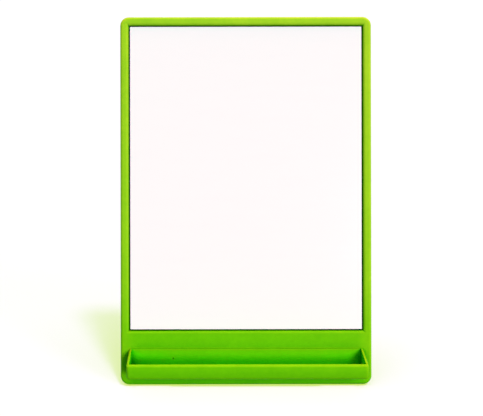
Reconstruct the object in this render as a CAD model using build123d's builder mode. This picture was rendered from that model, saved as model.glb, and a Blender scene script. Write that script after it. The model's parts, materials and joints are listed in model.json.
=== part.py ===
"""Desk whiteboard easel: a moulded frame round a magnetic writing sheet, with a pen tray on
its apron and a prop leg that folds into its back.

Millimetres. +Z is up and the board faces -Y. The origin is on the desk, in the middle of the
easel's footprint. The easel stands with its leg open, on two feet under the board and two on
the leg."""

from build123d import *
import os
from math import acos, cos, degrees, radians, sin, sqrt

os.makedirs("parts", exist_ok=True)

# ---------------------------------------------------------------- driving dimensions

# Board. "depth" runs from the frame's front face through the board to its back, and "up"
# runs up the board from its bottom edge.
LEAN = radians(20)            # of the board, back from upright
FRAME_WIDTH = 220.6
FRAME_HEIGHT = 323.0
CORNER_R = 7.6
BOARD_DEPTH = 14.0
PARTING_DEPTH = 7.0           # where the front frame meets the rear cover
WALL = 2.0                    # side walls of both halves
FACE = 2.2                    # front plate of the frame
SKIN = 2.0                    # back plate of the cover
FRONT_EDGE_R = 2.4
REAR_EDGE_R = 2.0

# Writing panel, a sheet of about 8 x 10.5 inches on a hardboard core
SHEET_WIDTH = 203.2
SHEET_HEIGHT = 265.6
SHEET_THICKNESS = 0.6
SHEET_UP = 48.6               # lower edge of the sheet
SHEET_SETBACK = 1.0           # face of the sheet behind the face of the frame
SHEET_GAP = 1.1               # open line between the sheet and the window
SHEET_CORNER_R = 0.5
CORE_THICKNESS = 3.0
CORE_INSET = 0.2
TAPE_THICKNESS = 0.4
TAPE_UPRIGHTS_X = (-45.0, 0.0, 45.0)
TAPE_UPRIGHT = (15.0, 62.0, 202.0)      # width, lower end, upper end
TAPE_CROSS = (150.0, 15.0)
TAPE_CROSS_UP = 268.0
WINDOW_EDGE_R = 2.7
SKIRT = 1.2                   # wall that stiffens the window's edge
SKIRT_DEPTH = 4.6

# Pen tray
TRAY_WIDTH = 205.4
TRAY_REACH = 25.0             # how far the lip stands in front of the frame
TRAY_BOTTOM = 10.0
TRAY_LIP = 21.8
TRAY_TOP = 31.6               # back plate and the back of the end walls
TRAY_END_WALL = 2.1
TRAY_FRONT_WALL = 2.6
TRAY_FLOOR = 2.0
TRAY_PLATE = 2.0              # back plate, flush with the apron
TRAY_CORNER_R = 3.0
TRAY_NOSE_R = 2.4
TRAY_BOW_R = 24.0             # the front is bowed, and furthest out just below the lip
TRAY_BOW_CREST = 19.0
TRAY_LIP_R = 1.8              # along the lip and the tops of the end walls
TRAY_SCOOP_R = 4.0
TRAY_FIT = 0.12               # between the back plate and its recess
TRAY_SEAT_DEPTH = 4.25        # rear face of the apron's seat for the tray
TRAY_DIMPLE_R = 0.7
TRAY_DIMPLE_DEPTH = 0.8
TRAY_DIMPLE = (-64.0, 23.3)
TRAY_SCREW_X = (-94.0, -73.0, 73.0, 94.0)
TRAY_PEG_X = (-33.0, 33.0)
TRAY_FASTEN_UP = 21.5
TRAY_PEG_R = 1.6
TRAY_BOSS_R = 2.4
TRAY_SEAT_GAP = 0.05          # behind the back plate and its bosses
TRAY_PILOT_FLOOR = 1.0        # depth at which the screws' pilot holes end
TRAY_SCREW_TIP = 1.2

# Leg and hinge. In the leg, "up" and "depth" are measured from the hinge's axis.
HINGE_UP = 206.0
HINGE_DEPTH = 10.8
LEG_REACH = 204.0             # hinge axis to the desk, along the leg
LEG_WIDTH = 125.4
LEG_THICKNESS = 6.0
LEG_SKIN = 2.0
LEG_RIB = 2.0
LEG_END = 198.4               # plastic ends here and the rubber feet begin
LEG_CORNER_R = 3.0
LEG_EDGE_R = 1.0
LEG_WINDOW = (80.0, 126.0)
LEG_WINDOW_MID = -96.0
LEG_WINDOW_R = 12.0
LEG_HEAD = 9.0                # solid top of the leg that carries the pin
LEG_RIBS_UP = (-33.0, -54.0, -75.0, -96.0, -117.0, -138.0, -160.0)
LEG_RIBS_X = (-42.0, -21.0, 0.0, 21.0, 42.0)    # below the lowest rib
KNUCKLE_SPANS = ((-62.7, -38.0), (-12.0, 12.0), (38.0, 62.7))
NOTCH_TOP = 12.0
NOTCH_DROP = 5.0
HEEL_FACE = -1.0              # depth of the heel's inner face
HEEL_TOP_DEPTH = 0.8
STOP_GAP = 0.05
PIN_R = 1.5
PIN_HALF_LENGTH = 76.0
PIN_CHAMFER = 0.4
BORE_R = 1.55
BORE_EXTRA = 0.2              # bore past each end of the pin

# Pocket for the folded leg
POCKET_WIDTH = 128.0
POCKET_FLOOR_DEPTH = 7.0
POCKET_FLOOR = 2.0
POCKET_WALL = 2.0
POCKET_TOP = HINGE_UP + 9.0
POCKET_RIM_R = 0.8
OVERLAP = 0.5                 # of features that join into one body
OVERRUN = 10.0                # of a cut that runs out of the piece

# Hinge caps over the pin's ends
CAP_INNER_X = 64.2
CAP_WIDTH = 15.4
CAP_HEIGHT = 22.0
CAP_THICKNESS = 2.2
CAP_FIT = 0.2
CAP_CORNER_R = 1.5
CAP_EDGE_R = 0.6
CAP_SCREW_RISE = 7.0          # each side of the pin
CAP_SCREW_SINK = 0.2          # head below the cap's face
CAP_SCREW_FIT = 0.15          # round its head and shank, in radius
CAP_SCREW_TIP = 6.6
SADDLE_WIDTH = 17.0
SADDLE_HALF_HEIGHT = 13.0
WASHER_INNER_X = 62.8
WASHER_THICKNESS = 1.0
WASHER_R = 3.1

# Screws: (head radius, head height, shank radius)
COVER_SCREW = (2.3, 1.6, 1.1)
TRAY_SCREW = (2.6, 1.5, 1.1)
CAP_SCREW = (1.8, 1.0, 0.9)
HEAD_ROUNDING = 0.55          # of its height
POINT_CHAMFER = 0.45          # of the shank's radius
CROSS_LENGTH = 1.1            # of the head's radius
CROSS_SINK = 0.7              # of the head's height
PILOT_FIT = 0.02              # pilot hole over the shank, in radius
PILOT_EXTRA = 0.4             # pilot hole past the screw's tip
CROSS_WIDTH = 0.6
COVER_SCREW_POINTS = [
    (side * x, up)
    for x, up in ((104.2, 317.0), (105.2, 180.0), (74.0, 40.3), (101.0, 6.2))
    for side in (-1, 1)
]
BOSS_R = 2.9
COVER_SEAT_DEPTH = 12.0       # where a cover screw's head sits
COVER_SCREW_TIP = 3.4
COUNTERBORE_R = 2.55
CLEARANCE_R = 1.35

# Rubber feet
FOOT_PROUD = 0.6              # desk below the board's rear bottom edge
FRONT_FOOT_X = 85.0
FRONT_FOOT_LENGTH = 26.0
FRONT_FOOT_DEPTHS = (10.4, 13.4)
FRONT_FOOT_RECESS = 0.8
LEG_FOOT_X = 48.0
LEG_FOOT_LENGTH = 22.0
LEG_FOOT_THICKNESS = 5.6

# Ribs, lands and tabs inside the rear cover
RIB = 1.5
RIB_FRONT_DEPTH = 5.0
RIB_REACH = 100.0             # ribs stop short of the side screws
SIDE_RIBS_UP = (62.0, 94.0, 126.0, 158.0)
SIDE_RIB_X = 82.0
SIDE_RIB_TOP = 194.0
TOP_RIBS_UP = (216.0, 240.0, 312.0)
TOP_RIBS_X = (-75.0, -45.0, -15.0, 15.0, 45.0, 75.0)
TAB = (1.2, 20.0)
TAB_FRONT_DEPTH = 5.4
TAB_GAP = 0.15
SIDE_TABS_UP = (100.0, 250.0)
TOP_TABS_X = (-50.0, 50.0)

# ---------------------------------------------------------------- derived places

UP = Vector(0, sin(LEAN), cos(LEAN))
BACK = Vector(0, cos(LEAN), -sin(LEAN))
THROUGH = Axis((0, 0, 0), BACK)
UPWARD = Axis((0, 0, 0), UP)

board_z = BOARD_DEPTH * sin(LEAN) + FOOT_PROUD
hinge_z = board_z + HINGE_UP * cos(LEAN) - HINGE_DEPTH * sin(LEAN)
LEG_SLOPE = acos(hinge_z / LEG_REACH)         # of the open leg, from upright
OPENING = LEAN + LEG_SLOPE                    # open leg against the board

# The tray's nose and the back of the leg's feet are the easel's front and rear ends.
nose_up = TRAY_BOTTOM + TRAY_NOSE_R
nose_out = TRAY_REACH - TRAY_BOW_R + sqrt(
    (TRAY_BOW_R - TRAY_NOSE_R) ** 2 - (TRAY_BOW_CREST - nose_up) ** 2
)
front_reach = nose_out * cos(LEAN) - nose_up * sin(LEAN) + TRAY_NOSE_R
foot_tip = (hinge_z + LEG_FOOT_THICKNESS / 2 * sin(LEG_SLOPE)) / cos(LEG_SLOPE)
rear_reach = (
    HINGE_DEPTH * cos(LEAN) + HINGE_UP * sin(LEAN)
    + LEG_FOOT_THICKNESS / 2 * cos(LEG_SLOPE) + foot_tip * sin(LEG_SLOPE)
)
BOARD_ORIGIN = Vector(0, (front_reach - rear_reach) / 2, board_z)
HINGE = BOARD_ORIGIN + BACK * HINGE_DEPTH + UP * HINGE_UP

LEG_UP = Vector(0, -sin(LEG_SLOPE), cos(LEG_SLOPE))
LEG_BACK = Vector(0, cos(LEG_SLOPE), sin(LEG_SLOPE))
THROUGH_LEG = Axis((0, 0, 0), LEG_BACK)
UP_LEG = Axis((0, 0, 0), LEG_UP)

WINDOW_WIDTH = SHEET_WIDTH + 2 * SHEET_GAP
WINDOW_HEIGHT = SHEET_HEIGHT + 2 * SHEET_GAP
PANEL_MID = SHEET_UP + SHEET_HEIGHT / 2
CORE_DEPTH = SHEET_SETBACK + SHEET_THICKNESS
TAPE_DEPTH = CORE_DEPTH + CORE_THICKNESS
CAP_FLOOR_DEPTH = BOARD_DEPTH - CAP_THICKNESS
CAP_MID_X = CAP_INNER_X + CAP_WIDTH / 2
CAP_SCREW_SEAT_DEPTH = BOARD_DEPTH - CAP_SCREW[1] - CAP_SCREW_SINK
FRAME_MID = (0, FRAME_HEIGHT / 2)


def board_face(depth):
    """Plane parallel to the board, with X across and Y up the board, facing the user."""
    return Plane(origin=BOARD_ORIGIN + BACK * depth, x_dir=(1, 0, 0), z_dir=-BACK)


def board_section(x):
    """Plane across the board at x, with depth and up as its two directions."""
    return Plane(origin=BOARD_ORIGIN + Vector(x, 0, 0), x_dir=BACK, z_dir=(1, 0, 0))


def leg_face(depth):
    """Plane parallel to the open leg, with X across and Y up the leg from the hinge."""
    return Plane(origin=HINGE + LEG_BACK * depth, x_dir=(1, 0, 0), z_dir=-LEG_BACK)


def leg_section(x):
    """Plane across the open leg at x, with depth and up from the hinge."""
    return Plane(origin=HINGE + Vector(x, 0, 0), x_dir=LEG_BACK, z_dir=(1, 0, 0))


def write(name, part):
    """Label a finished piece and write it."""
    part.label = name
    export_step(part, f"parts/{name}.step")


def rounded_outline(inset):
    """The frame's outline, inset from its edge."""
    with Locations(FRAME_MID):
        RectangleRounded(FRAME_WIDTH - 2 * inset, FRAME_HEIGHT - 2 * inset, CORNER_R - inset)


def upright_rectangle(width, low, high, x=0.0):
    """A rectangle between two heights."""
    with Locations((x, (low + high) / 2)):
        Rectangle(width, high - low)


def tray_outline(grow):
    """Front view of the tray's back plate: square above, rounded below."""
    half = TRAY_WIDTH / 2 + grow
    low, high, r = TRAY_BOTTOM - grow, TRAY_TOP + grow, TRAY_CORNER_R + grow
    with BuildLine() as outline:
        top = Polyline((-half, low + r), (-half, high), (half, high), (half, low + r))
        right = RadiusArc(top @ 1, (half - r, low), r)
        bottom = Line(right @ 1, (-half + r, low))
        RadiusArc(bottom @ 1, top @ 0, r)
    make_face(outline.edges())


def bowed_front(up):
    """Depth of the tray's bowed front at a height."""
    return -TRAY_REACH + TRAY_BOW_R - sqrt(TRAY_BOW_R**2 - (up - TRAY_BOW_CREST) ** 2)


def screws(points, seat_depth, tip_depth, head_radius, head_height, shank_radius):
    """Pan head screws driven from behind, with their heads seated at seat_depth."""
    head_depth = seat_depth + head_height
    with BuildPart() as group:
        with BuildSketch(board_face(head_depth)):
            with Locations(*points):
                Circle(head_radius)
        extrude(amount=head_height)
        fillet(group.faces().group_by(THROUGH)[-1].edges(), head_height * HEAD_ROUNDING)
        with BuildSketch(board_face(seat_depth)):
            with Locations(*points):
                Circle(shank_radius)
        extrude(amount=seat_depth - tip_depth)
        chamfer(group.faces().group_by(THROUGH)[0].edges(), shank_radius * POINT_CHAMFER)
        with BuildSketch(board_face(head_depth)):
            with Locations(*points):
                Rectangle(head_radius * CROSS_LENGTH, CROSS_WIDTH)
                Rectangle(CROSS_WIDTH, head_radius * CROSS_LENGTH)
        extrude(amount=head_height * CROSS_SINK, mode=Mode.SUBTRACT)
    return group.part


# ---------------------------------------------------------------- front frame

tray_seat_points = [(x, TRAY_FASTEN_UP) for x in TRAY_SCREW_X]
tray_peg_points = [(x, TRAY_FASTEN_UP) for x in TRAY_PEG_X]

with BuildPart() as front_frame:
    with BuildSketch(board_face(PARTING_DEPTH)):
        rounded_outline(0)
    extrude(amount=PARTING_DEPTH)
    fillet(front_frame.faces().sort_by(THROUGH)[0].edges(), FRONT_EDGE_R)
    with BuildSketch(board_face(PARTING_DEPTH)):
        rounded_outline(WALL)
    extrude(amount=PARTING_DEPTH - FACE, mode=Mode.SUBTRACT)

    # window skirt, screw bosses and the seat that carries the tray
    with BuildSketch(board_face(SKIRT_DEPTH)):
        with Locations((0, PANEL_MID)):
            Rectangle(WINDOW_WIDTH + 2 * SKIRT, WINDOW_HEIGHT + 2 * SKIRT)
    extrude(amount=SKIRT_DEPTH - FACE / 2)
    with BuildSketch(board_face(PARTING_DEPTH)):
        with Locations(*COVER_SCREW_POINTS):
            Circle(BOSS_R)
    extrude(amount=PARTING_DEPTH - FACE / 2)
    with BuildSketch(board_face(TRAY_SEAT_DEPTH)):
        tray_outline(TRAY_FIT + WALL)
    extrude(amount=TRAY_SEAT_DEPTH - FACE / 2)

    # window
    with BuildSketch(board_face(PARTING_DEPTH)):
        with Locations((0, PANEL_MID)):
            Rectangle(WINDOW_WIDTH, WINDOW_HEIGHT)
    extrude(amount=PARTING_DEPTH, mode=Mode.SUBTRACT)
    fillet(
        front_frame.faces().sort_by(THROUGH)[0].inner_wires().edges(),
        WINDOW_EDGE_R,
    )

    # recess and holes for the tray
    with BuildSketch(board_face(TRAY_PLATE + TRAY_SEAT_GAP)):
        tray_outline(TRAY_FIT)
    extrude(amount=TRAY_PLATE + TRAY_SEAT_GAP, mode=Mode.SUBTRACT)
    with BuildSketch(board_face(TRAY_SEAT_DEPTH)):
        with Locations(*tray_seat_points):
            Circle(TRAY_BOSS_R + TRAY_FIT)
        with Locations(*tray_peg_points):
            Circle(TRAY_PEG_R + TRAY_FIT)
    extrude(amount=TRAY_SEAT_DEPTH - TRAY_PLATE, mode=Mode.SUBTRACT)

    # pilot holes for the cover screws
    with BuildSketch(board_face(PARTING_DEPTH)):
        with Locations(*COVER_SCREW_POINTS):
            Circle(COVER_SCREW[2] + PILOT_FIT)
    extrude(amount=PARTING_DEPTH - COVER_SCREW_TIP + PILOT_EXTRA, mode=Mode.SUBTRACT)

write("front_frame", front_frame.part)

# ---------------------------------------------------------------- writing panel

with BuildPart() as writing_sheet:
    with BuildSketch(board_face(CORE_DEPTH)):
        with Locations((0, PANEL_MID)):
            RectangleRounded(SHEET_WIDTH, SHEET_HEIGHT, SHEET_CORNER_R)
    extrude(amount=SHEET_THICKNESS)

write("writing_sheet", writing_sheet.part)

with BuildPart() as panel_core:
    with BuildSketch(board_face(TAPE_DEPTH)):
        with Locations((0, PANEL_MID)):
            Rectangle(SHEET_WIDTH - 2 * CORE_INSET, SHEET_HEIGHT - 2 * CORE_INSET)
    extrude(amount=CORE_THICKNESS)

write("panel_core", panel_core.part)

with BuildPart() as foam_tape_strips:
    with BuildSketch(board_face(TAPE_DEPTH + TAPE_THICKNESS)):
        width, low, high = TAPE_UPRIGHT
        for strip_x in TAPE_UPRIGHTS_X:
            upright_rectangle(width, low, high, strip_x)
        with Locations((0, TAPE_CROSS_UP)):
            Rectangle(*TAPE_CROSS)
    extrude(amount=TAPE_THICKNESS)

write("foam_tape_strips", foam_tape_strips.part)

# ---------------------------------------------------------------- pen tray

with BuildPart() as pen_tray:
    # outer block: rounded below in front view, and in side view bowed in front, with its top
    # sloped from the apron to the lip
    with BuildSketch(board_face(0)):
        tray_outline(0)
    extrude(amount=TRAY_REACH)
    with BuildSketch(board_section(-TRAY_WIDTH / 2)):
        with BuildLine():
            low = (bowed_front(TRAY_BOTTOM), TRAY_BOTTOM)
            lip = (bowed_front(TRAY_LIP), TRAY_LIP)
            Polyline(low, (0, TRAY_BOTTOM), (0, TRAY_TOP), lip)
            RadiusArc(lip, low, -TRAY_BOW_R)
        make_face()
    extrude(amount=TRAY_WIDTH, mode=Mode.INTERSECT)
    nose_edges = pen_tray.faces().sort_by(THROUGH)[0].edges()
    lip_edge = nose_edges.sort_by(UPWARD)[-1]
    fillet([edge for edge in nose_edges if edge != lip_edge], TRAY_NOSE_R)
    lip_edges = pen_tray.edges().filter_by(Axis.X).group_by(THROUGH)[0]
    fillet(lip_edges.sort_by(UPWARD)[-1], TRAY_LIP_R)

    # back plate in the apron
    with BuildSketch(board_face(TRAY_PLATE)):
        tray_outline(0)
    extrude(amount=TRAY_PLATE)

    # hollow with a scooped floor
    with BuildPart(mode=Mode.PRIVATE) as tray_hollow:
        hollow_width = TRAY_WIDTH - 2 * TRAY_END_WALL
        with BuildSketch(board_face(0)):
            upright_rectangle(hollow_width, TRAY_BOTTOM + TRAY_FLOOR, TRAY_TOP + OVERRUN)
        extrude(amount=TRAY_REACH - TRAY_FRONT_WALL)
        floor_edges = tray_hollow.faces().sort_by(UPWARD)[0].edges()
        fillet(floor_edges.filter_by(Axis.X), TRAY_SCOOP_R)
    add(tray_hollow.part, mode=Mode.SUBTRACT)

    # bosses and pegs behind the back plate
    with BuildSketch(board_face(TRAY_SEAT_DEPTH - TRAY_SEAT_GAP)):
        with Locations(*tray_seat_points):
            Circle(TRAY_BOSS_R)
        with Locations(*tray_peg_points):
            Circle(TRAY_PEG_R)
    extrude(amount=TRAY_SEAT_DEPTH - TRAY_SEAT_GAP - TRAY_PLATE / 2)
    with BuildSketch(board_face(TRAY_SEAT_DEPTH)):
        with Locations(*tray_seat_points):
            Circle(TRAY_SCREW[2] + PILOT_FIT)
    extrude(amount=TRAY_SEAT_DEPTH - TRAY_PILOT_FLOOR, mode=Mode.SUBTRACT)

    # small moulding dimple in the back
    with BuildSketch(board_face(TRAY_DIMPLE_DEPTH)):
        with Locations(TRAY_DIMPLE):
            Circle(TRAY_DIMPLE_R)
    extrude(amount=2 * TRAY_DIMPLE_DEPTH, mode=Mode.SUBTRACT)

write("pen_tray", pen_tray.part)
write("tray_screws", screws(tray_seat_points, TRAY_SEAT_DEPTH, TRAY_SCREW_TIP, *TRAY_SCREW))

# ---------------------------------------------------------------- rear cover

tab_side_x = FRAME_WIDTH / 2 - WALL - TAB_GAP - TAB[0] / 2
tab_top_up = FRAME_HEIGHT - WALL - TAB_GAP - TAB[0] / 2
cap_screw_points = [
    (side * CAP_MID_X, HINGE_UP + rise)
    for side in (-1, 1)
    for rise in (-CAP_SCREW_RISE, CAP_SCREW_RISE)
]

with BuildPart() as rear_cover:
    with BuildSketch(board_face(BOARD_DEPTH)):
        rounded_outline(0)
    extrude(amount=BOARD_DEPTH - PARTING_DEPTH)
    fillet(rear_cover.faces().sort_by(THROUGH)[-1].edges(), REAR_EDGE_R)
    with BuildSketch(board_face(BOARD_DEPTH - SKIN)):
        rounded_outline(WALL)
    extrude(amount=BOARD_DEPTH - SKIN - PARTING_DEPTH, mode=Mode.SUBTRACT)

    # ribs that back the panel, and the land for the cross strip of tape
    with BuildSketch(board_face(BOARD_DEPTH - SKIN / 2)):
        for side in (-1, 1):
            for rib_up in SIDE_RIBS_UP:
                with Locations((side * (POCKET_WIDTH / 2 + RIB_REACH) / 2, rib_up)):
                    Rectangle(RIB_REACH - POCKET_WIDTH / 2, RIB)
            upright_rectangle(RIB, SIDE_RIBS_UP[0], TOP_RIBS_UP[-1], side * RIB_REACH)
            upright_rectangle(RIB, SIDE_RIBS_UP[0], SIDE_RIB_TOP, side * SIDE_RIB_X)
        for rib_up in TOP_RIBS_UP:
            with Locations((0, rib_up)):
                Rectangle(2 * RIB_REACH, RIB)
        for rib_x in TOP_RIBS_X:
            upright_rectangle(RIB, POCKET_TOP, TOP_RIBS_UP[-1], rib_x)
    extrude(amount=BOARD_DEPTH - SKIN / 2 - RIB_FRONT_DEPTH)
    with BuildSketch(board_face(RIB_FRONT_DEPTH + SKIN)):
        with Locations((0, TAPE_CROSS_UP)):
            Rectangle(TAPE_CROSS[0] + 2 * RIB, TAPE_CROSS[1] + 2 * RIB)
    extrude(amount=SKIN)

    # walls and floor of the leg's pocket
    with BuildSketch(board_face(BOARD_DEPTH - SKIN / 2)):
        upright_rectangle(POCKET_WIDTH + 2 * POCKET_WALL, WALL / 2, POCKET_TOP + POCKET_WALL)
    extrude(amount=BOARD_DEPTH - SKIN / 2 - POCKET_FLOOR_DEPTH)
    with BuildSketch(board_face(POCKET_FLOOR_DEPTH + OVERLAP)):
        upright_rectangle(
            POCKET_WIDTH + 2 * POCKET_WALL, WALL + TAB_GAP, POCKET_TOP + POCKET_WALL
        )
    extrude(amount=POCKET_FLOOR + OVERLAP)

    # blocks that carry the hinge pin, one each side of the pocket
    with BuildSketch(board_face(BOARD_DEPTH - SKIN / 2)):
        for side in (-1, 1):
            upright_rectangle(
                SADDLE_WIDTH,
                HINGE_UP - SADDLE_HALF_HEIGHT,
                HINGE_UP + SADDLE_HALF_HEIGHT,
                side * (POCKET_WIDTH + SADDLE_WIDTH) / 2,
            )
    extrude(amount=BOARD_DEPTH - SKIN / 2 - RIB_FRONT_DEPTH)

    # screw bosses and locating tabs
    with BuildSketch(board_face(BOARD_DEPTH - SKIN / 2)):
        with Locations(*COVER_SCREW_POINTS):
            Circle(BOSS_R)
    extrude(amount=BOARD_DEPTH - SKIN / 2 - PARTING_DEPTH)
    with BuildSketch(board_face(BOARD_DEPTH - SKIN / 2)):
        with Locations(*[(side * tab_side_x, up) for side in (-1, 1) for up in SIDE_TABS_UP]):
            Rectangle(*TAB)
        with Locations(*[(x, tab_top_up) for x in TOP_TABS_X]):
            Rectangle(TAB[1], TAB[0])
    extrude(amount=BOARD_DEPTH - SKIN / 2 - TAB_FRONT_DEPTH)

    # the pocket itself, open at the back and at the bottom edge
    with BuildSketch(board_face(POCKET_FLOOR_DEPTH)):
        upright_rectangle(POCKET_WIDTH, -1, POCKET_TOP)
    extrude(amount=POCKET_FLOOR_DEPTH - BOARD_DEPTH - 1, mode=Mode.SUBTRACT)
    back_edges = rear_cover.faces().sort_by(THROUGH)[-1].edges()
    rim_sides = back_edges.filter_by(UPWARD).sort_by(lambda edge: abs(edge.center().X))[:2]
    rim_top = back_edges.filter_by(Axis.X).sort_by(
        lambda edge: abs((edge.center() - BOARD_ORIGIN).dot(UP) - POCKET_TOP)
    )[0]
    fillet(rim_sides + [rim_top], POCKET_RIM_R)

    # seats for the pin and its caps
    with BuildSketch(board_face(CAP_FLOOR_DEPTH)):
        for side in (-1, 1):
            upright_rectangle(
                CAP_WIDTH + 2 * CAP_FIT + 2 * OVERLAP,
                HINGE_UP - CAP_HEIGHT / 2 - CAP_FIT,
                HINGE_UP + CAP_HEIGHT / 2 + CAP_FIT,
                side * (CAP_MID_X - OVERLAP),
            )
    extrude(amount=CAP_FLOOR_DEPTH - BOARD_DEPTH - 1, mode=Mode.SUBTRACT)
    with BuildSketch(board_section(-PIN_HALF_LENGTH - BORE_EXTRA)):
        with Locations((HINGE_DEPTH, HINGE_UP)):
            Circle(BORE_R)
        with Locations((HINGE_DEPTH + BORE_R / 2, HINGE_UP)):
            Rectangle(BORE_R, 2 * BORE_R)
    extrude(amount=2 * (PIN_HALF_LENGTH + BORE_EXTRA), mode=Mode.SUBTRACT)
    with BuildSketch(board_face(CAP_FLOOR_DEPTH)):
        with Locations(*cap_screw_points):
            Circle(CAP_SCREW[2] + PILOT_FIT)
    extrude(amount=CAP_FLOOR_DEPTH - CAP_SCREW_TIP + PILOT_EXTRA, mode=Mode.SUBTRACT)

    # counterbored holes for the cover screws
    with BuildSketch(board_face(COVER_SEAT_DEPTH)):
        with Locations(*COVER_SCREW_POINTS):
            Circle(COUNTERBORE_R)
    extrude(amount=COVER_SEAT_DEPTH - BOARD_DEPTH - 1, mode=Mode.SUBTRACT)
    with BuildSketch(board_face(COVER_SEAT_DEPTH)):
        with Locations(*COVER_SCREW_POINTS):
            Circle(CLEARANCE_R)
    extrude(amount=COVER_SEAT_DEPTH - PARTING_DEPTH + 1, mode=Mode.SUBTRACT)

    # shallow recesses for the front feet, in the bottom edge
    with BuildSketch(board_face(FRONT_FOOT_DEPTHS[1])):
        for side in (-1, 1):
            upright_rectangle(FRONT_FOOT_LENGTH, -1, FRONT_FOOT_RECESS, side * FRONT_FOOT_X)
    extrude(amount=FRONT_FOOT_DEPTHS[1] - FRONT_FOOT_DEPTHS[0], mode=Mode.SUBTRACT)

write("rear_cover", rear_cover.part)
write("cover_screws", screws(COVER_SCREW_POINTS, COVER_SEAT_DEPTH, COVER_SCREW_TIP, *COVER_SCREW))

# ---------------------------------------------------------------- prop leg

leg_half = LEG_THICKNESS / 2
stop_depth = HINGE_DEPTH - POCKET_FLOOR_DEPTH - STOP_GAP


def heel_height(depth):
    """How far above the axis the heel may reach at a depth, to land flat on the pocket floor."""
    return (depth * cos(OPENING) + stop_depth) / sin(OPENING)


with BuildPart() as prop_leg:
    with BuildSketch(leg_face(leg_half)):
        upright_rectangle(LEG_WIDTH, -LEG_END, 0)
    extrude(amount=LEG_THICKNESS)
    fillet(prop_leg.edges().filter_by(THROUGH_LEG).sort_by(UP_LEG)[:2], LEG_CORNER_R)
    back_edges = prop_leg.faces().sort_by(THROUGH_LEG)[-1].edges().sort_by(UP_LEG)
    fillet(back_edges[:-1], LEG_EDGE_R)

    # knuckles with the heel that stops the leg on the pocket's floor
    with BuildSketch(leg_section(-LEG_WIDTH / 2)):
        Circle(leg_half)
        with BuildLine():
            Polyline(
                (HEEL_FACE, 0),
                (HEEL_FACE, heel_height(HEEL_FACE)),
                (HEEL_TOP_DEPTH, heel_height(HEEL_TOP_DEPTH)),
                (leg_half, heel_height(HEEL_TOP_DEPTH)),
                (leg_half, 0),
                close=True,
            )
        make_face()
    extrude(amount=LEG_WIDTH)
    with BuildSketch(leg_face(leg_half)):
        for left, right in zip(KNUCKLE_SPANS, KNUCKLE_SPANS[1:]):
            upright_rectangle(right[0] - left[1], -NOTCH_DROP, NOTCH_TOP, (right[0] + left[1]) / 2)
    extrude(amount=LEG_THICKNESS, mode=Mode.SUBTRACT)

    # underside hollowed to a skin with ribs
    with BuildSketch(leg_face(-leg_half)):
        upright_rectangle(LEG_WIDTH - 2 * LEG_RIB, -LEG_END + LEG_RIB, -LEG_HEAD)
        with Locations((0, LEG_WINDOW_MID)):
            RectangleRounded(
                LEG_WINDOW[0] + 2 * LEG_RIB,
                LEG_WINDOW[1] + 2 * LEG_RIB,
                LEG_WINDOW_R + LEG_RIB,
                mode=Mode.SUBTRACT,
            )
        for rib_up in LEG_RIBS_UP:
            with Locations((0, rib_up)):
                Rectangle(LEG_WIDTH, RIB, mode=Mode.SUBTRACT)
        for rib_x in LEG_RIBS_X:
            with Locations((rib_x, (LEG_RIBS_UP[-1] - LEG_END) / 2)):
                Rectangle(RIB, LEG_END + LEG_RIBS_UP[-1], mode=Mode.SUBTRACT)
    extrude(amount=LEG_SKIN - LEG_THICKNESS, mode=Mode.SUBTRACT)
    with BuildSketch(leg_face(leg_half)):
        with Locations((0, LEG_WINDOW_MID)):
            RectangleRounded(*LEG_WINDOW, LEG_WINDOW_R)
    extrude(amount=LEG_THICKNESS, mode=Mode.SUBTRACT)

    # bore for the pin
    with BuildSketch(leg_section(-LEG_WIDTH / 2)):
        Circle(BORE_R)
    extrude(amount=LEG_WIDTH, mode=Mode.SUBTRACT)

write("prop_leg", prop_leg.part)

# ---------------------------------------------------------------- hinge

with BuildPart() as hinge_pin:
    with BuildSketch(board_section(-PIN_HALF_LENGTH)):
        with Locations((HINGE_DEPTH, HINGE_UP)):
            Circle(PIN_R)
    extrude(amount=2 * PIN_HALF_LENGTH)
    chamfer(hinge_pin.edges().filter_by(GeomType.CIRCLE), PIN_CHAMFER)

write("hinge_pin", hinge_pin.part)

for name, side in (("left", -1), ("right", 1)):
    with BuildPart() as hinge_cap:
        with BuildSketch(board_face(BOARD_DEPTH)):
            with Locations((side * CAP_MID_X, HINGE_UP)):
                RectangleRounded(CAP_WIDTH, CAP_HEIGHT, CAP_CORNER_R)
        extrude(amount=CAP_THICKNESS)
        fillet(hinge_cap.faces().sort_by(THROUGH)[-1].edges(), CAP_EDGE_R)
        with BuildSketch(board_section(side * CAP_MID_X - CAP_WIDTH)):
            with Locations((HINGE_DEPTH, HINGE_UP)):
                Circle(BORE_R)
        extrude(amount=2 * CAP_WIDTH, mode=Mode.SUBTRACT)
        cap_points = [point for point in cap_screw_points if point[0] * side > 0]
        with BuildSketch(board_face(CAP_SCREW_SEAT_DEPTH)):
            with Locations(*cap_points):
                Circle(CAP_SCREW[0] + CAP_SCREW_FIT)
        extrude(amount=-CAP_THICKNESS, mode=Mode.SUBTRACT)
        with BuildSketch(board_face(BOARD_DEPTH)):
            with Locations(*cap_points):
                Circle(CAP_SCREW[2] + CAP_SCREW_FIT)
        extrude(amount=CAP_THICKNESS, mode=Mode.SUBTRACT)
    write(f"hinge_cap_{name}", hinge_cap.part)

    washer_start = WASHER_INNER_X if side > 0 else -WASHER_INNER_X - WASHER_THICKNESS
    with BuildPart() as hinge_washer:
        with BuildSketch(board_section(washer_start)):
            with Locations((HINGE_DEPTH, HINGE_UP)):
                Circle(WASHER_R)
                Circle(BORE_R, mode=Mode.SUBTRACT)
        extrude(amount=WASHER_THICKNESS)
    write(f"hinge_washer_{name}", hinge_washer.part)

write(
    "hinge_cap_screws",
    screws(cap_screw_points, CAP_SCREW_SEAT_DEPTH, CAP_SCREW_TIP, *CAP_SCREW),
)

# ---------------------------------------------------------------- rubber feet

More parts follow.
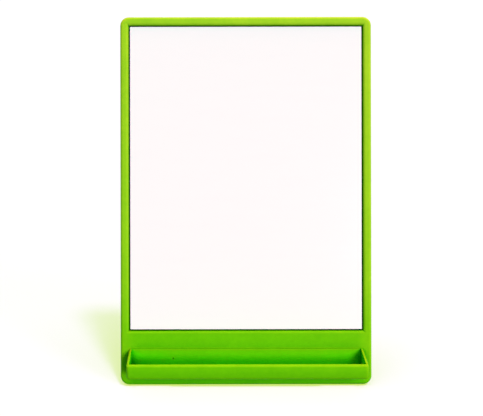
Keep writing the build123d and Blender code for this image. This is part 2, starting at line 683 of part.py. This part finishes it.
for name, side in (("left", -1), ("right", 1)):
    with BuildPart() as front_foot:
        with BuildSketch(board_face(FRONT_FOOT_DEPTHS[1])):
            upright_rectangle(FRONT_FOOT_LENGTH, -12, FRONT_FOOT_RECESS, side * FRONT_FOOT_X)
        extrude(amount=FRONT_FOOT_DEPTHS[1] - FRONT_FOOT_DEPTHS[0])
        split(bisect_by=Plane.XY, keep=Keep.TOP)
    write(f"front_foot_{name}", front_foot.part)

    with BuildPart() as leg_foot:
        with BuildSketch(leg_face(LEG_FOOT_THICKNESS / 2)):
            upright_rectangle(LEG_FOOT_LENGTH, -LEG_REACH - 12, -LEG_END, side * LEG_FOOT_X)
        extrude(amount=LEG_FOOT_THICKNESS)
        split(bisect_by=Plane.XY, keep=Keep.TOP)
    write(f"leg_foot_{name}", leg_foot.part)

print("hinge axis", HINGE, "opening", degrees(OPENING), "leg slope", degrees(LEG_SLOPE))
print("board origin", BOARD_ORIGIN)
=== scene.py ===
"""Finishes, light and camera for a desk whiteboard easel: a lime green moulded frame with a pen
tray across its apron, a white enamelled writing sheet, and a prop leg that folds into its back.

Metres. +Z is up and the board faces -Y. The board leans back, so most sizes here are taken
across it (x), up it (up) and through it from its front face (depth)."""

import json
from math import cos, pi, radians, sin

import bmesh
import bpy
from mathutils import Matrix, Vector


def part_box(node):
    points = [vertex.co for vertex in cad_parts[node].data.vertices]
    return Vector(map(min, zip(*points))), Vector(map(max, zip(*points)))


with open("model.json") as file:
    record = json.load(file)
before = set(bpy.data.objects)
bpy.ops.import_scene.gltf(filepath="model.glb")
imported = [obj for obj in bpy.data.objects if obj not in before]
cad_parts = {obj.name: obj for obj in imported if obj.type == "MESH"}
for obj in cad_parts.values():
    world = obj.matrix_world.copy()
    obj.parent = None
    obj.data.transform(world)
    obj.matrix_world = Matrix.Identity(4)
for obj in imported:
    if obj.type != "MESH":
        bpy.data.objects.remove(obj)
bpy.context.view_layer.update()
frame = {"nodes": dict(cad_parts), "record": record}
nodes = frame["nodes"]

# ---------------------------------------------------------------- the board's own directions

LEAN = radians(20)
SHEET_SETBACK = 0.001         # face of the writing sheet behind the face of the frame
SHEET_UP = 0.0486             # lower edge of the writing sheet
BOARD_DEPTH = 0.014
FOOT_PROUD = 0.0006           # how far the front feet stand out below the casing
FRAME_HEIGHT = 0.3230
FRAME_HALF = 0.110            # half the frame's width, to the nearest millimetre

RIGHT = Vector((1, 0, 0))
UP = Vector((0, sin(LEAN), cos(LEAN)))
BACK = Vector((0, cos(LEAN), -sin(LEAN)))

sheet_low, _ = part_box("writing_sheet")
BOARD_FOOT = Vector((
    0,
    sheet_low.y - SHEET_SETBACK * cos(LEAN) - SHEET_UP * sin(LEAN),
    BOARD_DEPTH * sin(LEAN) + FOOT_PROUD,
))


def board_point(x, depth, up):
    """A point given across, through and up the board."""
    return BOARD_FOOT + RIGHT * x + BACK * depth + UP * up


# ---------------------------------------------------------------- camera

VIEW_WIDTH, VIEW_HEIGHT = 483, 416
SENSOR_WIDTH = 36.0
FOCAL_PIXELS = 741.0
VIEW_DISTANCE = 0.650
AIM_X, AIM_UP = -0.0310, 0.1598           # where the lens's axis meets the board
AIM_PIXEL = (210.65, 202.6)               # and where that point is in the view
ROLL = 0.0017                             # turn of the camera about its axis, in radians

camera_data = bpy.data.cameras.new("camera")
camera_data.sensor_width = SENSOR_WIDTH
camera_data.lens = FOCAL_PIXELS / VIEW_WIDTH * SENSOR_WIDTH
camera_data.shift_x = (VIEW_WIDTH / 2 - AIM_PIXEL[0]) / VIEW_WIDTH
camera_data.shift_y = (AIM_PIXEL[1] - VIEW_HEIGHT / 2) / VIEW_WIDTH
camera_data.clip_start = 0.01
camera_data.clip_end = 50

camera = bpy.data.objects.new("camera", camera_data)
bpy.context.scene.collection.objects.link(camera)
camera_turn = Matrix((RIGHT, UP, -BACK)).transposed() @ Matrix.Rotation(-ROLL, 3, "Z")
camera_place = Matrix.Translation(board_point(AIM_X, -VIEW_DISTANCE, AIM_UP))
camera.matrix_world = camera_place @ camera_turn.to_4x4()
bpy.context.scene.camera = camera

# ---------------------------------------------------------------- light


def sun(name, towards, spread, level, tint=(1.0, 1.0, 1.0)):
    """A distant lamp. towards is the direction it shines from, spread is its width in degrees,
    and level is how bright it makes a white face turned square to it."""
    data = bpy.data.lights.new(name, "SUN")
    data.energy = level * pi
    data.color = tint
    data.angle = radians(spread)
    lamp = bpy.data.objects.new(name, data)
    lamp.rotation_euler = towards.to_track_quat("Z", "Y").to_euler()
    bpy.context.scene.collection.objects.link(lamp)
    return lamp


key = sun("key", -BACK + 0.46 * RIGHT - 0.05 * UP, 17, 0.74, (1.0, 0.78, 0.77))
side = sun("side", -BACK + 1.60 * RIGHT + 1.60 * UP, 20, 0.42, (1.0, 0.90, 0.88))
top = sun("top", UP - 0.08 * BACK, 16, 1.42, (1.0, 0.30, 0.30))
rear = sun("rear", Vector((-0.5, 1.0, 0.35)), 50, 0.62)
AMBIENT = (0.05, 0.34, 0.32)              # greenish, to balance the reddish lamps on a white face

# the floor has its own lamps, so that the easel's shadow stays close beside it; the frame and
# the pen tray in front cast none there
floor_lamps = [
    sun("floor_key", Vector((0.20, -0.09, 1.0)), 7, 0.62),
    sun("floor_fill", Vector((0.14, -0.09, 1.0)), 8, 0.28),
    sun("floor_right", Vector((0.30, 0.10, 1.0)), 20, 0.28),
    sun("floor_left", Vector((-0.20, 0.20, 1.0)), 20, 0.62),
    sun("floor_low", Vector((1.0, -0.60, 0.35)), 20, 0.55),
]
FLOOR_FULL = (1.95, 2.24, 2.22)           # what the lamps and the ambient light give the floor


def add_node(tree, kind, inputs=(), **settings):
    """A node with some of its inputs set to constants or joined to other nodes' outputs."""
    node = tree.nodes.new(kind)
    for name, value in settings.items():
        setattr(node, name, value)
    for place, value in inputs:
        if isinstance(value, bpy.types.NodeSocket):
            tree.links.new(value, node.inputs[place])
        else:
            node.inputs[place].default_value = value
    return node


def seen_directly(tree):
    """1 for what the camera sees, straight or through a reflection, and 0 for what light does."""
    path = add_node(tree, "ShaderNodeLightPath")
    seen = path.outputs["Is Camera Ray"]
    for kind in ("Is Glossy Ray", "Is Transmission Ray"):
        pair = ((0, seen), (1, path.outputs[kind]))
        seen = add_node(tree, "ShaderNodeMath", pair, operation="MAXIMUM").outputs[0]
    return seen


world = bpy.data.worlds.new("studio")
world.use_nodes = True
bpy.context.scene.world = world
tree = world.node_tree
tree.nodes.clear()
soft = add_node(tree, "ShaderNodeBackground", (("Color", (*AMBIENT, 1)), ("Strength", 1.0)))
white = add_node(tree, "ShaderNodeBackground", (("Color", (1, 1, 1, 1)), ("Strength", 1.0)))
sky = add_node(tree, "ShaderNodeMixShader", (
    (0, seen_directly(tree)), (1, soft.outputs[0]), (2, white.outputs[0]),
))
add_node(tree, "ShaderNodeOutputWorld", (("Surface", sky.outputs[0]),))

bpy.context.scene.view_settings.view_transform = "Standard"

# ---------------------------------------------------------------- finishes


def display(red, green, blue):
    """A colour as it shows on a display, 0 to 255, as linear values."""
    channels = [value / 255 for value in (red, green, blue)]
    linear = [c / 12.92 if c <= 0.04045 else ((c + 0.055) / 1.055) ** 2.4 for c in channels]
    return (*linear, 1.0)


SHELTER_SAMPLES = 8


class Finish:
    """A material under construction, with short calls that add and join its nodes."""

    def __init__(self, name):
        self.material = bpy.data.materials.new(name)
        self.material.use_nodes = True
        self.tree = self.material.node_tree
        self.tree.nodes.clear()
        self.shader = self.add("ShaderNodeBsdfPrincipled")
        self.end = self.add("ShaderNodeOutputMaterial")
        self.join(self.shader.outputs["BSDF"], self.end.inputs["Surface"])
        self.place = self.add("ShaderNodeTexCoord").outputs["Object"]

    def add(self, kind, **settings):
        return add_node(self.tree, kind, **settings)

    def join(self, output, target):
        self.tree.links.new(output, target)

    def set(self, **values):
        """Constant values on the shader's own sockets, with spaces written as underscores."""
        for name, value in values.items():
            self.shader.inputs[name.replace("_", " ")].default_value = value

    def drive(self, name, output):
        self.join(output, self.shader.inputs[name])

    def noise(self, size, detail=3.0, roughness=0.55, stretch=(1, 1, 1)):
        """Noise whose features are about size metres across."""
        spread = self.add("ShaderNodeMapping")
        spread.inputs["Scale"].default_value = [s / size for s in stretch]
        self.join(self.place, spread.inputs["Vector"])
        pattern = self.add("ShaderNodeTexNoise")
        pattern.inputs["Scale"].default_value = 1.0
        pattern.inputs["Detail"].default_value = detail
        pattern.inputs["Roughness"].default_value = roughness
        self.join(spread.outputs["Vector"], pattern.inputs["Vector"])
        return pattern.outputs["Fac"]

    def range(self, value, low, high, out_low=0.0, out_high=1.0):
        """Stretches low to high into out_low to out_high, and holds to those past the ends."""
        change = self.add("ShaderNodeMapRange")
        self.join(value, change.inputs["Value"])
        for name, number in (
            ("From Min", low), ("From Max", high), ("To Min", out_low), ("To Max", out_high),
        ):
            change.inputs[name].default_value = number
        return change.outputs["Result"]

    def ramp(self, value, stops):
        band = self.add("ShaderNodeValToRGB")
        self.join(value, band.inputs["Fac"])
        elements = band.color_ramp.elements
        while len(elements) < len(stops):
            elements.new(0.5)
        for element, (position, colour) in zip(elements, stops):
            element.position = position
            element.color = colour
        return band.outputs["Color"]

    def mix(self, factor, first, second, how="MIX"):
        """A blend of two colours. Each is an output or a fixed colour, and so is the factor."""
        joint = self.add("ShaderNodeMix", data_type="RGBA", blend_type=how)
        factor_in, first_in, second_in = joint.inputs[0], joint.inputs[6], joint.inputs[7]
        for source, target in ((factor, factor_in), (first, first_in), (second, second_in)):
            if isinstance(source, bpy.types.NodeSocket):
                self.join(source, target)
            else:
                target.default_value = source
        return joint.outputs[2]

    def bump(self, height, depth, strength=1.0, under=None):
        relief = self.add("ShaderNodeBump")
        relief.inputs["Strength"].default_value = strength
        relief.inputs["Distance"].default_value = depth
        self.join(height, relief.inputs["Height"])
        if under is not None:
            self.join(under, relief.inputs["Normal"])
        return relief.outputs["Normal"]

    def openness(self, reach, inside=False):
        """How open the surface is, 1 on a broad face and less within reach of a hollow. Taken
        inside the material, it is less within reach of an edge."""
        shelter = self.add(
            "ShaderNodeAmbientOcclusion", samples=SHELTER_SAMPLES, inside=inside, only_local=inside,
        )
        shelter.inputs["Distance"].default_value = reach
        return shelter.outputs["AO"]

    def along(self, direction):
        """Distance in a direction."""
        measure = self.add("ShaderNodeVectorMath", operation="DOT_PRODUCT")
        measure.inputs[1].default_value = direction
        self.join(self.place, measure.inputs[0])
        return measure.outputs["Value"]

    def unsigned(self, value):
        """A value without its sign."""
        bare = self.add("ShaderNodeMath", operation="ABSOLUTE")
        self.join(value, bare.inputs[0])
        return bare.outputs[0]

    def up_board(self):
        """Height up the board as a share of the frame's."""
        foot = BOARD_FOOT.dot(UP)
        return self.range(self.along(UP), foot, foot + FRAME_HEIGHT)


# the moulded colour from the foot of the board to its top, with painted light in it:
# lighter and yellower towards the top, and lighter in a thin band at the very foot
LIME_PAINTED_LIGHT_UP_BOARD = (
    (0.00, (0.166, 0.690, 0.0022, 1)),
    (0.01, (0.166, 0.690, 0.0022, 1)),
    (0.03, (0.144, 0.588, 0.0022, 1)),
    (0.14, (0.151, 0.583, 0.0028, 1)),
    (0.30, (0.260, 0.655, 0.0105, 1)),
    (0.62, (0.315, 0.684, 0.0165, 1)),
    (1.00, (0.372, 0.718, 0.0220, 1)),
)
# painted light: yellower and lighter towards the right-hand side, which faces the key lamp
PAINTED_LIGHT_RIGHT_TINT = (1.17, 1.04, 1.2, 1)         # what it takes on towards the right-hand side

# the outer rim of each side, as distances from the middle, and its tints from foot to top:
# a painted highlight where the rounded rim catches the light, strongest near the foot
RIM = (0.098, 0.106)
PAINTED_RIM_LIGHT_TINTS = (
    (0.00, (1.36, 1.03, 1.3, 1)),
    (0.14, (1.22, 1.03, 1.2, 1)),
    (0.32, (1.04, 1.00, 1.0, 1)),
    (1.00, (1.05, 1.00, 1.0, 1)),
)

# sizes of the faint patches in the colour, and how much each darkens it
MOTTLE = ((0.035, 0.14), (0.0045, 0.10), (0.0006, 0.10))

# painted shade in gaps, creases and hollows: how far around a point counts as its hollow,
# and the darker, greener tints it takes as that closes in
PAINTED_SHADE_CREVICES = (0.008, (
    (0.44, (0.32, 0.57, 0.66, 1)),
    (0.62, (0.62, 0.85, 0.76, 1)),
    (0.85, (1.00, 1.00, 1.00, 1)),
))
# painted shade in the frame's deeper hollows, beside and below the pen tray
FRAME_PAINTED_SHADE = (0.035, (
    (0.42, (0.34, 0.68, 0.40, 1)),
    (0.50, (0.60, 0.90, 0.40, 1)),
    (0.68, (0.38, 0.72, 0.40, 1)),
    (0.82, (1.00, 1.00, 1.00, 1)),
))
# painted shade in the pen tray, darker and greener down towards its floor
TRAY_PAINTED_SHADE = (0.035, (
    (0.30, (0.06, 0.66, 0.05, 1)),
    (0.48, (0.42, 1.26, 0.15, 1)),
    (0.58, (0.58, 1.03, 0.40, 1)),
    (0.72, (1.06, 0.93, 0.90, 1)),
    (0.88, (0.86, 0.92, 0.60, 1)),
    (0.97, (1.00, 1.00, 1.00, 1)),
))
# painted shade on the bevel round the window, in the same way, apart from its left side, which faces
# the light
BEVEL_PAINTED_SHADE = (0.0025, (
    (0.70, (0.95, 1.10, 0.80, 1)),
    (0.95, (0.42, 0.90, 0.42, 1)),
    (0.995, (1.0, 1.0, 1.0, 1)),
))
LEFT_BEVEL_END = (-0.1015, -0.0995)

# painted highlight where light catches an edge: yellower most where it is rounded, none where it is
# sharp
EDGE_REACH = 0.0016
PAINTED_HIGHLIGHT_TINT = (1.45, 0.97, 1.4, 1)
PAINTED_HIGHLIGHT_ON_EDGES = (
    (0.52, (0.0, 0.0, 0.0, 1)),
    (0.70, (1.0, 1.0, 1.0, 1)),
    (0.86, (0.8, 0.8, 0.8, 1)),
    (0.97, (0.0, 0.0, 0.0, 1)),
)


def lime_plastic(name="lime_plastic", hollows=FRAME_PAINTED_SHADE):
    """Satin moulded plastic, with painted light: yellower towards the top and the right of the
    board, a painted highlight along its rounded edges, and painted shade, darker and greener, in its
    hollows. Its gloss fades out at the edges."""
    finish = Finish(name)
    height = finish.up_board()
    # painted light: lighter and yellower up the board
    colour = finish.ramp(height, LIME_PAINTED_LIGHT_UP_BOARD)
    # painted light: yellower towards the right-hand side
    across = finish.range(finish.along(RIGHT), -FRAME_HALF, FRAME_HALF)
    colour = finish.mix(across, colour, PAINTED_LIGHT_RIGHT_TINT, "MULTIPLY")
    # painted highlight on the outer rim
    rim = finish.range(finish.unsigned(finish.along(RIGHT)), *RIM)
    colour = finish.mix(rim, colour, finish.ramp(height, PAINTED_RIM_LIGHT_TINTS), "MULTIPLY")
    for size, depth in MOTTLE:
        patch = finish.range(finish.noise(size, detail=3.0), 0.32, 0.68)
        colour = finish.mix(patch, colour, (1 - depth, 1 - depth / 2, 1 - depth, 1), "MULTIPLY")
    # painted shade in the hollows, creases and gaps
    for reach, tints in (hollows, PAINTED_SHADE_CREVICES):
        colour = finish.mix(1.0, colour, finish.ramp(finish.openness(reach), tints), "MULTIPLY")
    # painted shade on the bevel round the window, except on its left side
    past_left_bevel = finish.range(finish.along(RIGHT), *LEFT_BEVEL_END)
    bevel_reach, bevel_tints = BEVEL_PAINTED_SHADE
    bevel = finish.ramp(finish.openness(bevel_reach), bevel_tints)
    colour = finish.mix(past_left_bevel, colour, finish.mix(1.0, colour, bevel, "MULTIPLY"))
    # painted highlight along the rounded edges; the same measure fades the gloss there
    edge = finish.openness(EDGE_REACH, inside=True)
    colour = finish.mix(finish.ramp(edge, PAINTED_HIGHLIGHT_ON_EDGES), colour, PAINTED_HIGHLIGHT_TINT, "MULTIPLY")
    finish.drive("Base Color", colour)
    finish.drive("Roughness", finish.range(finish.noise(0.012, detail=5.0), 0.3, 0.7, 0.44, 0.56))
    finish.set(IOR=1.12, Specular_Tint=(0.80, 1.0, 0.10, 1))
    finish.drive("Specular IOR Level", finish.range(edge, 0.93, 1.0, 0.0, 0.5))
    waviness = finish.bump(finish.noise(0.022, detail=1.0), 0.0004, 0.25)
    grain = finish.bump(finish.noise(0.00045, detail=3.0, roughness=0.65), 0.00003, 0.35, waviness)
    finish.drive("Normal", grain)
    return finish.material


def white_enamel():
    """Glossy enamel on steel, with the faintest haze left by wiping."""
    finish = Finish("white_enamel")
    wiped = finish.noise(0.010, detail=5.0, roughness=0.6, stretch=(0.18, 1, 1))
    haze = finish.range(wiped, 0.45, 0.75, 0.0, 0.6)
    finish.drive("Base Color", finish.mix(haze, (0.950, 0.950, 0.976, 1), (0.938, 0.938, 0.966, 1)))
    finish.drive("Roughness", finish.range(wiped, 0.3, 0.8, 0.16, 0.24))
    finish.set(Specular_IOR_Level=0.3)
    finish.drive("Normal", finish.bump(finish.noise(0.0035, detail=2.0), 0.00002, 0.3))
    return finish.material


def hardboard():
    """Brown pressed fibre."""
    finish = Finish("hardboard")
    fibre = finish.noise(0.0012, detail=6.0, roughness=0.7, stretch=(0.4, 1, 1))
    blotch = finish.noise(0.018, detail=3.0)
    base = finish.ramp(fibre, (
        (0.25, display(92, 60, 36)),
        (0.55, display(134, 94, 60)),
        (0.80, display(164, 124, 84)),
    ))
    stain = finish.range(blotch, 0.3, 0.7, 0.0, 0.5)
    finish.drive("Base Color", finish.mix(stain, base, (0.8, 0.76, 0.7, 1), "MULTIPLY"))
    finish.set(Roughness=0.85)
    finish.drive("Normal", finish.bump(fibre, 0.00015, 0.5))
    return finish.material


def foam_tape():
    """White closed-cell foam."""
    finish = Finish("foam_tape")
    cells = finish.noise(0.0005, detail=4.0)
    base = finish.ramp(cells, ((0.3, display(205, 204, 198)), (0.7, display(234, 233, 226))))
    finish.drive("Base Color", base)
    finish.set(Roughness=0.8)
    finish.drive("Normal", finish.bump(cells, 0.0001, 0.5))
    return finish.material


def steel():
    """Bright zinc plate with fine turning marks."""
    finish = Finish("steel")
    marks = finish.noise(0.0004, detail=4.0, stretch=(0.1, 1, 1))
    spots = finish.noise(0.003, detail=4.0)
    base = finish.ramp(spots, ((0.3, display(176, 178, 182)), (0.7, display(214, 214, 214))))
    finish.drive("Base Color", base)
    finish.drive("Roughness", finish.range(marks, 0.3, 0.7, 0.22, 0.42))
    finish.set(Metallic=1.0)
    finish.drive("Normal", finish.bump(marks, 0.00003, 0.25))
    return finish.material


def rubber():
    """Matt black rubber with a dusty bloom."""
    finish = Finish("rubber")
    dust = finish.noise(0.0025, detail=5.0, roughness=0.65)
    base = finish.ramp(dust, ((0.35, display(34, 34, 34)), (0.75, display(66, 65, 62))))
    finish.drive("Base Color", base)
    finish.drive("Roughness", finish.range(dust, 0.3, 0.7, 0.6, 0.8))
    finish.drive("Normal", finish.bump(finish.noise(0.0004), 0.00005, 0.4))
    return finish.material


def nylon():
    """Natural nylon, slightly waxy."""
    finish = Finish("nylon")
    cloud = finish.noise(0.002, detail=3.0)
    base = finish.ramp(cloud, ((0.3, display(226, 222, 206)), (0.7, display(238, 236, 226))))
    finish.drive("Base Color", base)
    finish.set(Roughness=0.45)
    finish.drive("Normal", finish.bump(cloud, 0.00003, 0.3))
    return finish.material


makers = {
    "lime_plastic": lime_plastic,
    "white_enamel": white_enamel,
    "hardboard": hardboard,
    "foam_tape": foam_tape,
    "steel": steel,
    "rubber": rubber,
    "nylon": nylon,
}
finishes = {name: make() for name, make in makers.items()}
for piece in frame["record"]["subparts"]:
    for slot in nodes[piece["node"]].material_slots:
        slot.material = finishes[piece["material_slot"]]
# the pen tray takes its own painted shade
for slot in nodes["pen_tray"].material_slots:
    slot.material = lime_plastic("lime_tray", TRAY_PAINTED_SHADE)

# ---------------------------------------------------------------- floor

FLOOR_HALF = 6.0                          # half the width of the floor
# the floor's shade is tinted lime, a painted stand-in for green light thrown off the plastic
FLOOR_SHADE = (0.596, 0.784, 0.050)       # colour of the floor in full shade
FLOOR_LIFT = (0.449, 0.236, 1.010)        # and what full light adds to it
FLOOR_BOUNCE = (0.10, 0.08, 0.08)         # share of its light that the floor throws back

floor_mesh = bpy.data.meshes.new("floor")
sketch = bmesh.new()
bmesh.ops.create_grid(sketch, x_segments=1, y_segments=1, size=FLOOR_HALF)
sketch.to_mesh(floor_mesh)
sketch.free()
floor = bpy.data.objects.new("floor", floor_mesh)
bpy.context.scene.collection.objects.link(floor)

floor_finish = bpy.data.materials.new("floor")
floor_finish.use_nodes = True
tree = floor_finish.node_tree
tree.nodes.clear()
bounce = add_node(tree, "ShaderNodeBsdfDiffuse", (("Color", (*FLOOR_BOUNCE, 1)),))
paper_colour = [lit / full for lit, full in zip(FLOOR_LIFT, FLOOR_FULL)]
lift = add_node(tree, "ShaderNodeBsdfDiffuse", (("Color", (*paper_colour, 1)),))
shade = add_node(tree, "ShaderNodeEmission", (("Color", (*FLOOR_SHADE, 1)), ("Strength", 1.0)))
paper = add_node(tree, "ShaderNodeAddShader", ((0, lift.outputs[0]), (1, shade.outputs[0])))
surface = add_node(tree, "ShaderNodeMixShader", (
    (0, seen_directly(tree)), (1, bounce.outputs[0]), (2, paper.outputs[0]),
))
add_node(tree, "ShaderNodeOutputMaterial", (("Surface", surface.outputs[0]),))
floor_mesh.materials.append(floor_finish)


def collect(name, things):
    group = bpy.data.collections.new(name)
    for thing in things:
        group.objects.link(thing)
    return group


easel = collect("easel", nodes.values())
ground = collect("ground", [floor])
casting = collect("casting", [
    thing for name, thing in nodes.items() if name not in ("front_frame", "pen_tray")
])
for lamp in (key, side, top, rear):
    lamp.light_linking.receiver_collection = easel
for lamp in floor_lamps:
    lamp.light_linking.receiver_collection = ground
    lamp.light_linking.blocker_collection = casting
